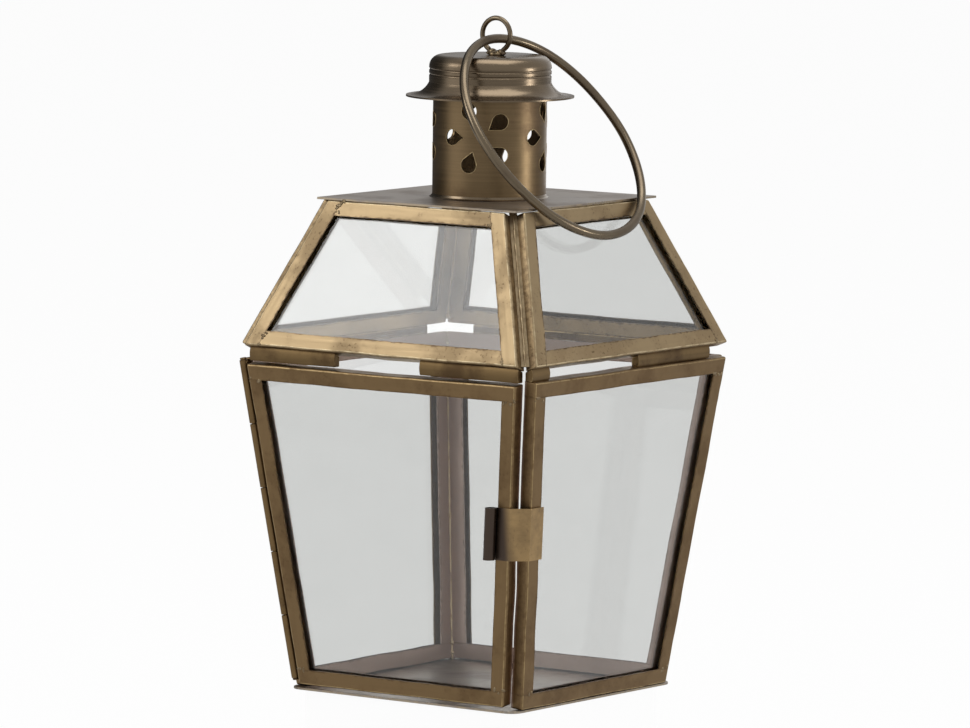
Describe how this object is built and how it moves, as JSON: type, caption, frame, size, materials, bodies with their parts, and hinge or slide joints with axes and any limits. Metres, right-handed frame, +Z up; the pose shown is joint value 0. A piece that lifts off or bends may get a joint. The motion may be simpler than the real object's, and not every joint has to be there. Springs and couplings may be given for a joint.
{
  "type": "candle lantern",
  "caption": "Square brass-framed candle lantern: tapering glass panels, a hinged glass door with a spring clip, a glazed roof, a vented chimney under a spun cap, and a hanging ring.",
  "frame": {"origin": "middle of the underside of the base plate", "axes": "+Z up, with the door towards -Y and the door's hinge on the -X side"},
  "size_m": [0.13, 0.13, 0.2433],
  "materials": {
    "frame_brass": "aged, with bright worn edges",
    "roof_brass": "satin, less aged than the body",
    "plate_brass": "dull sheet",
    "chimney_bronze": "dark bronzed, with bright edges",
    "spacer_bronze": "dark bronzed",
    "clip_brass": "dark bronzed strip",
    "hinge_brass": "aged",
    "solder": "soft solder, lumpy and half bright",
    "ring_steel": "gunmetal, smooth",
    "glass": "clear window glass"
  },
  "bodies": {
    "lantern": {"back_bottom_rail": "frame_brass", "back_left_stile": "frame_brass", "back_pane": "glass", "back_right_stile": "frame_brass", "back_top_rail": "frame_brass", "base_plate": "plate_brass", "body_corner_solder": "solder", "chimney_cap": "chimney_bronze", "chimney_collar": "solder", "chimney_tube": "chimney_bronze", "eave_spacer_back": "spacer_bronze", "eave_spacer_front": "spacer_bronze", "eave_spacer_left": "spacer_bronze", "eave_spacer_right": "spacer_bronze", "eye_ring": "ring_steel", "eye_saddle": "solder", "frame_knuckles": "hinge_brass", "hinge_pin": "hinge_brass", "left_bottom_rail": "frame_brass", "left_left_stile": "frame_brass", "left_pane": "glass", "left_right_stile": "frame_brass", "left_top_rail": "frame_brass", "right_bottom_rail": "frame_brass", "right_left_stile": "frame_brass", "right_pane": "glass", "right_right_stile": "frame_brass", "right_top_rail": "frame_brass", "roof_back_bottom_rail": "roof_brass", "roof_back_left_stile": "roof_brass", "roof_back_pane": "glass", "roof_back_right_stile": "roof_brass", "roof_back_top_rail": "roof_brass", "roof_front_bottom_rail": "roof_brass", "roof_front_left_stile": "roof_brass", "roof_front_pane": "glass", "roof_front_right_stile": "roof_brass", "roof_front_top_rail": "roof_brass", "roof_hip_solder": "solder", "roof_left_bottom_rail": "roof_brass", "roof_left_left_stile": "roof_brass", "roof_left_pane": "glass", "roof_left_right_stile": "roof_brass", "roof_left_top_rail": "roof_brass", "roof_right_bottom_rail": "roof_brass", "roof_right_left_stile": "roof_brass", "roof_right_pane": "glass", "roof_right_right_stile": "roof_brass", "roof_right_top_rail": "roof_brass", "top_plate": "plate_brass"},
    "door": {"door_bottom_rail": "frame_brass", "door_hinge_stile": "frame_brass", "door_knuckles": "hinge_brass", "door_latch_stile": "frame_brass", "door_pane": "glass", "door_top_rail": "frame_brass", "latch_clip": "clip_brass"},
    "bail": {"bail_ring": "ring_steel"}
  },
  "joints": [
    {"name": "door_hinge", "type": "hinge", "parent": "lantern", "child": "door", "pos_m": [-0.04804, -0.04804, 0.0038], "axis": [0.1209, 0.1209, -0.9853], "range_deg": [0, 110]},
    {"name": "bail_swing", "type": "hinge", "parent": "lantern", "child": "bail", "pos_m": [0.00325, 0, 0.2349], "axis": [0, -1, 0], "range_deg": [0, 278]}
  ]
}
